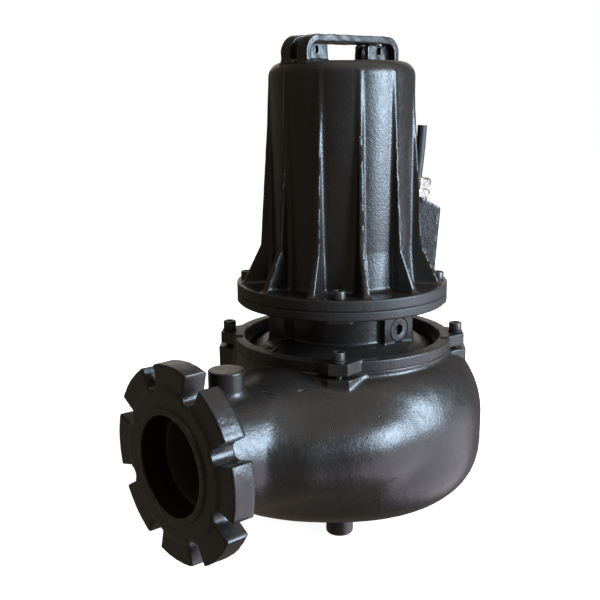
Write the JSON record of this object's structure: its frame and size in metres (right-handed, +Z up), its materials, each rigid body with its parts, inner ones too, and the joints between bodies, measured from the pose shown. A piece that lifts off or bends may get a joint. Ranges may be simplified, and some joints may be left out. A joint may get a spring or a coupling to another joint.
{
  "type": "submersible pump",
  "caption": "Submersible sewage pump with a ribbed motor bell, twin lifting loops, a round scroll casing on stub feet and a slotted side outlet flange.",
  "frame": {"origin": "middle of the pump's bounding box, at the height of the floor it stands on, cable left out", "axes": "+Z up along the motor shaft; the outlet faces -Y"},
  "size_m": [0.337, 0.4663, 0.5935],
  "materials": {
    "black_paint": "satin black paint over cast iron",
    "black_screw": "blackened steel",
    "nickel": "nickel-plated brass",
    "cable_rubber": "black rubber sheath",
    "impeller_iron": "dark cast iron"
  },
  "bodies": {
    "root": {"motor_housing": "black_paint", "lifting_handle_front": "black_paint", "lifting_handle_rear": "black_paint", "oil_chamber": "black_paint", "back_cover": "black_paint", "volute_casing": "black_paint", "suction_ring": "black_paint", "foot_1": "black_paint", "foot_2": "black_paint", "foot_3": "black_paint", "foot_4": "black_paint", "motor_screw_1": "black_screw", "motor_screw_2": "black_screw", "motor_screw_3": "black_screw", "motor_screw_4": "black_screw", "cover_screw_1": "black_screw", "cover_screw_2": "black_screw", "cover_screw_3": "black_screw", "cover_screw_4": "black_screw", "spring_washer_1": "black_screw", "spring_washer_2": "black_screw", "spring_washer_3": "black_screw", "spring_washer_4": "black_screw", "oil_plug_right": "black_screw", "oil_plug_rear": "black_screw", "gland_body": "nickel", "gland_nut": "nickel", "power_cable": "cable_rubber", "impeller": "impeller_iron", "impeller_bolt": "impeller_iron", "pump_shaft": "impeller_iron"}
  },
  "joints": []
}
